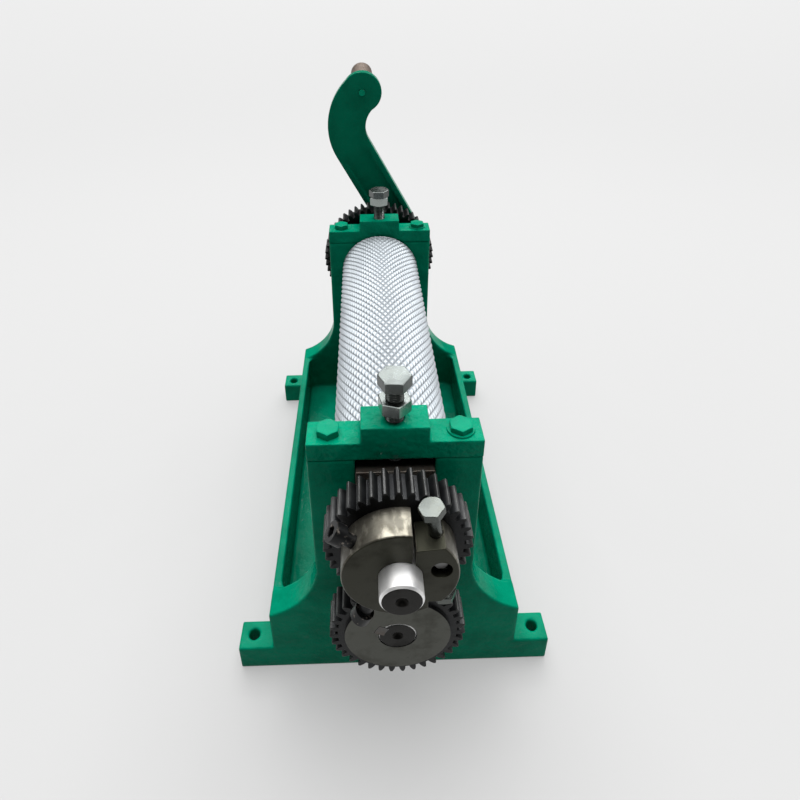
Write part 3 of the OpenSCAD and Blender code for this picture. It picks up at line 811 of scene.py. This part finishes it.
class PRESS_OT_bearings(Operator):
    """Sliding steel blocks with bronze bushes"""

    bl_idname = "press.bearings"
    bl_label = "Bearing blocks and bushes"

    def execute(self, context):
        looks = context.scene.press_steel
        block_steel = milled_finish("block_steel", BLOCK_STEEL, roughness=0.34)
        for level, axis_z in (("lower", LOWER_AXIS_Z), ("upper", UPPER_AXIS_Z)):
            bronze = bush_finish(f"{level}_bush_bronze", looks, axis_z)
            for end in ENDS:
                block = machined_copy(f"{level}_block_{end}", f"{level}_block_{end}_milled", edge=0.0007)
                fit_out(block, f"{level}_block_{end}", block_steel)
                bush = machined_copy(f"{level}_bush_{end}", f"{level}_bush_{end}_turned", edge=0.0003)
                fit_out(bush, f"{level}_bush_{end}", bronze)
        return {"FINISHED"}


def black_gear(node, looks, axis_z):
    """A blackened gear on an axis along Y, its edges broken."""
    low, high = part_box(node)
    oxide = oxide_finish(f"{node}_oxide", looks, axis_z, tip=(high.x - low.x) / 2)
    gear = machined_copy(node, f"{node}_cut", looks.broken_edge)
    return fit_out(gear, node, oxide)


class PRESS_OT_timing_gears(Operator):
    """Pair of blackened gears that keep the rollers in step"""

    bl_idname = "press.timing_gears"
    bl_label = "Timing gears"

    def execute(self, context):
        looks = context.scene.press_steel
        for node, axis_z in (("upper_timing_gear", UPPER_AXIS_Z), ("lower_timing_gear", LOWER_AXIS_Z)):
            gear = black_gear(node, looks, axis_z)
            if node == "lower_timing_gear":
                self.face_off(gear, axis_z)
        return {"FINISHED"}

    def face_off(self, gear, axis_z):
        """The boss on the front is turned bright, and the teeth stay black."""
        boss_rise = 0.0021
        boss_back = -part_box("lower_timing_gear")[0].y - boss_rise
        bright = turned_finish(
            "gear_boss_steel", GEAR_BOSS_STEEL, axis_z, mark_depth=0.00004, roughness=0.34, stain=0.3
        )
        end_faces(gear, bright, boss_back)


class PRESS_OT_timing_hub(Operator):
    """Split hub that turns the upper gear on its shaft, with its bolts, stud and clamp screws"""

    bl_idname = "press.timing_hub"
    bl_label = "Timing hub"

    def execute(self, context):
        looks = context.scene.press_steel
        self.hub(looks)
        plate = plated_finish("bolt_zinc", looks.zinc, warmth=(1.04, 0.98, 0.84))
        for node in ("timing_bolt_upper", "timing_bolt_lower"):
            bolt = machined_copy(node, f"{node}_plated", edge=0.0002, angle=24.0, steps=1, crease=18.0)
            fit_out(bolt, node, plate)
        black = black_screw_finish("screw_black", looks)
        for node in ("hub_clamp_screw_upper", "hub_clamp_screw_lower"):
            screw = machined_copy(node, f"{node}_black", edge=0.0004)
            fit_out(screw, node, black)
        stud = machined_copy("timing_stud", "timing_stud_turned", edge=0.0003)
        # The stud takes a dark copy of the bare steel: painted shade from the pocket it sits in.
        pocket_shaded_steel = shaded(looks.bare_steel, 0.22)
        stud_steel = turned_finish(
            "stud_steel", pocket_shaded_steel, UPPER_AXIS_Z, mark_depth=0.00003, roughness=0.3, stain=0.5
        )
        fit_out(stud, "timing_stud", stud_steel)
        return {"FINISHED"}

    def hub(self, looks):
        """The hub is rubbed bright round its rim, in patches that are part wear and part painted highlight;
        its front and its pocket are painted dark as shade, and its flat as a dark painted reflection.
        """
        rubbed_and_highlit_steel = turned_finish(
            "hub_steel", looks.hub_steel, UPPER_AXIS_Z, mark_depth=0.00007, roughness=0.26, stain=0.7, rub=0.5
        )
        shaded_hub_steel = turned_finish(
            "hub_front_steel", HUB_SHADE_STEEL, UPPER_AXIS_Z, mark_depth=0.00005, roughness=0.34, stain=0.4
        )
        hub = machined_copy("timing_hub", "timing_hub_turned", edge=0.0005)
        fit_out(hub, "timing_hub", rubbed_and_highlit_steel)
        stud_low, stud_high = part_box("timing_stud")
        stud = (stud_low + stud_high) / 2
        pocket_r = 0.0068
        # The front and the pocket take the dark steel: painted shade.
        end_faces(hub, shaded_hub_steel, bore=(stud.x, stud.z, pocket_r))
        # The flat on the right half takes it too: a painted dark reflection.
        facing_up = 0.9
        split_x = 0.009
        for face in hub.data.polygons:
            if face.normal.z > facing_up and face.center.x > split_x:
                face.material_index = 1


class PRESS_OT_drive_gears(Operator):
    """Large gear on the upper shaft and the pinion that the crank turns"""

    bl_idname = "press.drive_gears"
    bl_label = "Drive gear and pinion"

    def execute(self, context):
        looks = context.scene.press_steel
        for node, axis_z in (("drive_gear", UPPER_AXIS_Z), ("crank_pinion", LOWER_AXIS_Z)):
            black_gear(node, looks, axis_z)
        ring = machined_copy("drive_gear_ring", "drive_gear_ring_sprung", edge=0.0002)
        fit_out(ring, "drive_gear_ring", black_screw_finish("ring_black", looks))
        return {"FINISHED"}


class PRESS_OT_crank(Operator):
    """Cranked arm with its recess, bush, bolt and washer"""

    bl_idname = "press.crank"
    bl_label = "Crank arm"

    def execute(self, context):
        castings = context.scene.press_castings
        looks = context.scene.press_steel
        arm = cast_copy("crank_arm", "crank_arm_casting", castings.small_grain, castings.softening)
        self.fade_hollows(arm)
        fit_out(arm, "crank_arm", enamel_finish("crank_enamel", castings, lightness=0.72))
        bronze = bush_finish("crank_bush_bronze", looks, LOWER_AXIS_Z)
        bush = machined_copy("crank_bush", "crank_bush_turned", edge=0.0003)
        fit_out(bush, "crank_bush", bronze)
        plate = plated_finish("crank_bolt_zinc", looks.zinc, warmth=(1.04, 0.98, 0.84))
        for node in ("crank_bolt", "crank_washer"):
            fit_out(machined_copy(node, f"{node}_plated", edge=0.0003), node, plate)
        return {"FINISHED"}

    def fade_hollows(self, arm):
        """Runs the hollow on each side of the arm out to nothing where the upper bend starts."""
        low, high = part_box("crank_arm")
        lean = math.radians(29)
        bend_x, bend_z = -0.0283, 0.3153
        hollow_half = 0.0180
        start = -0.004
        fade = 0.034
        middle = (low.y + high.y) / 2
        half = (high.y - low.y) / 2
        for vert in arm.data.vertices:
            x, z = vert.co.x - bend_x, vert.co.z - bend_z
            down = x * math.sin(lean) - z * math.cos(lean)
            across = x * math.cos(lean) + z * math.sin(lean)
            if not start < down < fade or abs(across) > hollow_half:
                continue
            share = max(0.0, down / fade)
            share = share * share * (3 - 2 * share)
            side = 1.0 if vert.co.y > middle else -1.0
            sunk = half - abs(vert.co.y - middle)
            vert.co.y = middle + side * (half - sunk * share)


class PRESS_OT_grip(Operator):
    """Turning steel grip on its riveted spindle"""

    bl_idname = "press.grip"
    bl_label = "Grip"

    def execute(self, context):
        looks = context.scene.press_steel
        low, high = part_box("grip_sleeve")
        axis_x = (low.x + high.x) / 2
        axis_z = (low.z + high.z) / 2
        grip_steel = turned_finish(
            "grip_steel", GRIP_STEEL, axis_z, mark_depth=0.00007, roughness=0.36, stain=0.6
        )
        fit_out(self.sleeve(low, high, axis_x, axis_z), "grip_sleeve", grip_steel)
        self.spindle(looks, context.scene.press_castings, axis_z)
        plate = plated_finish("grip_zinc", looks.zinc, warmth=(1.0, 0.98, 0.9))
        washer = machined_copy("grip_washer", "grip_washer_plated", edge=0.0003)
        fit_out(washer, "grip_washer", plate)
        return {"FINISHED"}

    def sleeve(self, low, high, axis_x, axis_z):
        """A plain barrel, a touch fuller in the middle, with rounded ends and a bore."""
        outer = (high.x - low.x) / 2
        bore = 0.0075
        round_end = ((0.0, 0.0022), (0.0006, 0.0010), (0.0020, 0.0004))
        swell_start = 0.003
        swell = 0.0004
        swell_steps = 12
        profile = [(low.y, bore)]
        profile += [(low.y + inward, outer - below) for inward, below in round_end]
        for i in range(1, swell_steps):
            t = i / swell_steps
            y = low.y + swell_start + (high.y - low.y - 2 * swell_start) * t
            profile.append((y, outer - swell * (1 - math.sin(math.pi * t))))
        profile += [(high.y - inward, outer - below) for inward, below in reversed(round_end)]
        profile += [(high.y, bore), (low.y, bore)]
        bm = bmesh.new()
        lathe(bm, profile, axis_x, axis_z)
        bmesh.ops.remove_doubles(bm, verts=bm.verts, dist=1e-6)
        bmesh.ops.recalc_face_normals(bm, faces=bm.faces)
        return piece_from(bm, "grip_sleeve_barrel")

    def spindle(self, looks, castings, axis_z):
        """The steel pin, whose riveted end is painted over with the arm."""
        bright = turned_finish(
            "spindle_steel", looks.bare_steel, axis_z, mark_depth=0.00003, roughness=0.28, stain=0.4
        )
        paint = enamel_finish("rivet_enamel", castings, lightness=1.5)
        spindle = machined_copy("grip_spindle", "grip_spindle_riveted", edge=0.0004)
        fit_out(spindle, "grip_spindle", bright)
        spindle.data.materials.append(paint)
        skin = 0.0002
        arm_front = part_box("crank_arm")[0].y + skin
        for face in spindle.data.polygons:
            if face.center.y < arm_front:
                face.material_index = 1


class PRESS_OT_pressure_screws(Operator):
    """Screws that hold the upper roller down, each with its lock nut"""

    bl_idname = "press.pressure_screws"
    bl_label = "Pressure screws"

    FLATS = 0.019
    HEAD_HEIGHT = 0.00768
    HEAD_TURN = math.radians(-5)
    NUT_TURNS = {"near": math.radians(43), "far": math.radians(25)}
    ROD_RADIUS = 0.006

    def execute(self, context):
        looks = context.scene.press_steel
        top_plate = plated_finish("screw_head_zinc", looks.zinc, warmth=(1.0, 0.99, 0.93))
        # A lighter copy of the zinc for the nuts' sides: painted light.
        side_plate = plated_finish("nut_side_zinc", shaded(looks.zinc, 3.2), warmth=(1.0, 0.99, 0.93))
        # A lighter copy of the zinc for the screws' shanks: painted light.
        lit_shank_plate = plated_finish("screw_shank_zinc", shaded(looks.zinc, 1.8), warmth=(1.0, 0.94, 0.86))
        for end in ENDS:
            self.screw(looks, end, top_plate, lit_shank_plate)
            self.nut(end, top_plate, side_plate)
        return {"FINISHED"}

    def screw(self, looks, end, head_plate, lit_shank_plate):
        """One screw: a hexagon head, and a threaded rod in a lighter, warmer copy of the head's zinc, which
        is painted light.
        """
        node = f"pressure_screw_{end}"
        low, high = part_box(node)
        middle = (low + high) / 2
        seat = Vector((middle.x, middle.y, high.z - self.HEAD_HEIGHT))
        foot = Vector((middle.x, middle.y, low.z))
        overlap = 0.0001
        bm = bmesh.new()
        hexagon(bm, seat, self.FLATS, self.HEAD_HEIGHT, self.HEAD_TURN)
        head_faces = len(bm.faces)
        length = seat.z + overlap - low.z
        threaded_rod(bm, foot, length, self.ROD_RADIUS, looks.thread_pitch, looks.thread_depth)
        piece = fit_out(piece_from(bm, f"{node}_plated", crease=20.0), node, head_plate)
        piece.data.materials.append(lit_shank_plate)
        for face in piece.data.polygons[head_faces:]:
            face.material_index = 1

    def nut(self, end, top_plate, side_plate):
        """One lock nut, brighter on its sides than on its top: its sides take a lighter copy of the zinc,
        which is painted light.
        """
        node = f"lock_nut_{end}"
        low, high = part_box(node)
        middle = (low + high) / 2
        foot = Vector((middle.x, middle.y, low.z))
        bm = bmesh.new()
        hexagon(bm, foot, self.FLATS, high.z - low.z, self.NUT_TURNS[end], both=True)
        piece = fit_out(piece_from(bm, f"{node}_plated", crease=20.0), node, top_plate)
        piece.data.materials.append(side_plate)
        # Faces that do not look up take the lighter zinc: painted light.
        facing_up = 0.5
        for face in piece.data.polygons:
            if face.normal.z < facing_up:
                face.material_index = 1


class PRESS_OT_studio(Operator):
    """Pale floor, soft light and the camera"""

    bl_idname = "press.studio"
    bl_label = "Studio"

    GLINTS_ACROSS = (-0.75, -0.42, -0.12, 0.16, 0.46, 0.80)

    def execute(self, context):
        looks = context.scene.press_studio
        self.floor(looks)
        self.world()
        self.ceiling(looks.sky_power)
        near_cap = (0.0, -0.1, 0.22)
        for i, across in enumerate(self.GLINTS_ACROSS):
            name = f"glint_light_{i + 1}"
            self.light(name, (across, 0.9, 1.2), near_cap, (0.04, 0.04), looks.glint_power)
        rollers = (0.0, 0.0, 0.15)
        self.light("left_light", (-1.5, 0.1, 0.9), rollers, (0.5, 1.4), looks.side_power)
        self.light("right_light", (1.5, 0.2, 0.9), rollers, (0.5, 1.4), looks.side_power)
        self.camera(context)
        return {"FINISHED"}

    def floor(self, looks):
        """A wide sheet of matt paper just below the feet, which glows a little so its shadows stay pale."""
        reach = 30.0
        gap = 0.0002
        glow = 0.345
        bm = bmesh.new()
        corners = [(-reach, -reach), (reach, -reach), (reach, reach), (-reach, reach)]
        bm.faces.new([bm.verts.new((x, y, -gap)) for x, y in corners])
        floor = piece_from(bm, "studio_floor")
        f = Finish("studio_paper")
        grey = looks.floor_grey
        fibres = f.noise(f.place(), 60.0, 3.0)
        paper = f.mix(fibres, (grey, grey, grey), (grey * 0.99, grey * 0.99, grey * 0.985))
        white = (1.0, 1.0, 1.0, 1.0)
        finish = f.surface(Base_Color=paper, Roughness=0.9, Emission_Color=white, Emission_Strength=glow)
        floor.data.materials.append(finish)

    def world(self):
        """Faint even light from all round, and a pale backdrop past the floor's edge."""
        world = bpy.data.worlds.new("studio_air")
        bpy.context.scene.world = world
        world.use_nodes = True
        nodes = world.node_tree.nodes
        links = world.node_tree.links
        background = nodes["Background"]
        background.inputs["Color"].default_value = (0.84, 0.85, 0.86, 1.0)
        background.inputs["Strength"].default_value = 0.12
        backdrop = nodes.new("ShaderNodeBackground")
        backdrop.inputs["Color"].default_value = (0.80, 0.80, 0.80, 1.0)
        seen = nodes.new("ShaderNodeLightPath")
        either = nodes.new("ShaderNodeMixShader")
        links.new(seen.outputs["Is Camera Ray"], either.inputs[0])
        links.new(background.outputs[0], either.inputs[1])
        links.new(backdrop.outputs[0], either.inputs[2])
        links.new(either.outputs[0], nodes["World Output"].inputs["Surface"])

    def ceiling(self, power):
        """One very wide light from above, tilted a little, so that the floor is even out to its edge."""
        lamp = bpy.data.lights.new("ceiling_light", "SUN")
        lamp.energy = power
        lamp.angle = math.radians(80)
        holder = bpy.data.objects.new("ceiling_light", lamp)
        holder.rotation_euler = (math.radians(-20), math.radians(3), 0.0)
        bpy.context.scene.collection.objects.link(holder)

    def light(self, name, place, target, size, power):
        """A flat light of that width and height, turned towards its target."""
        lamp = bpy.data.lights.new(name, "AREA")
        lamp.shape = "RECTANGLE"
        lamp.size, lamp.size_y = size
        lamp.energy = power
        holder = bpy.data.objects.new(name, lamp)
        holder.location = place
        holder.rotation_euler = (Vector(target) - Vector(place)).to_track_quat("-Z", "Y").to_euler()
        bpy.context.scene.collection.objects.link(holder)

    def camera(self, context):
        """Stands close in front, a little left of the middle, and looks down at the press."""
        camera_data = bpy.data.cameras.new("camera")
        stand = (-0.0163, -0.459, 0.508)
        yaw, pitch, roll = math.radians(-1.239), math.radians(-27.923), math.radians(-0.642)
        forward = Vector((-math.sin(yaw) * math.cos(pitch), math.cos(yaw) * math.cos(pitch), math.sin(pitch)))
        flat_right = Vector((math.cos(yaw), math.sin(yaw), 0.0))
        flat_up = flat_right.cross(forward)
        right = flat_right * math.cos(roll) + flat_up * math.sin(roll)
        up = flat_up * math.cos(roll) - flat_right * math.sin(roll)
        camera = bpy.data.objects.new("camera", camera_data)
        turn = Matrix((right, up, -forward)).transposed().to_4x4()
        camera.matrix_world = Matrix.Translation(stand) @ turn
        camera_data.lens = 26.81
        camera_data.sensor_width = 36.0
        camera_data.shift_x = 0.0283
        camera_data.shift_y = -0.156
        camera_data.clip_start = 0.01
        bpy.context.scene.collection.objects.link(camera)
        context.scene.camera = camera
        context.scene.view_settings.view_transform = "Standard"


PIECES = (
    PRESS_OT_castings,
    PRESS_OT_cap_bolts,
    PRESS_OT_rollers,
    PRESS_OT_shafts,
    PRESS_OT_bearings,
    PRESS_OT_timing_gears,
    PRESS_OT_timing_hub,
    PRESS_OT_drive_gears,
    PRESS_OT_crank,
    PRESS_OT_grip,
    PRESS_OT_pressure_screws,
    PRESS_OT_studio,
)
LOOKS = {
    "press_castings": CastingLooks,
    "press_rollers": RollerLooks,
    "press_steel": SteelLooks,
    "press_studio": StudioLooks,
}


class PRESS_PT_looks(Panel):
    """Lists the pieces and the stage"""

    bl_label = "Press"
    bl_idname = "PRESS_PT_looks"
    bl_space_type = "VIEW_3D"
    bl_region_type = "UI"
    bl_category = "Press"

    def draw(self, context):
        for piece in PIECES:
            self.layout.operator(piece.bl_idname)


def register():
    for group in LOOKS.values():
        bpy.utils.register_class(group)
    for name, group in LOOKS.items():
        setattr(bpy.types.Scene, name, PointerProperty(type=group))
    for piece in PIECES:
        bpy.utils.register_class(piece)
    bpy.utils.register_class(PRESS_PT_looks)


def unregister():
    bpy.utils.unregister_class(PRESS_PT_looks)
    for piece in reversed(PIECES):
        bpy.utils.unregister_class(piece)
    for name, group in LOOKS.items():
        delattr(bpy.types.Scene, name)
        bpy.utils.unregister_class(group)


def main():
    register()
    for piece in PIECES:
        group, name = piece.bl_idname.split(".")
        getattr(getattr(bpy.ops, group), name)()


if __name__ == "__main__":
    main()
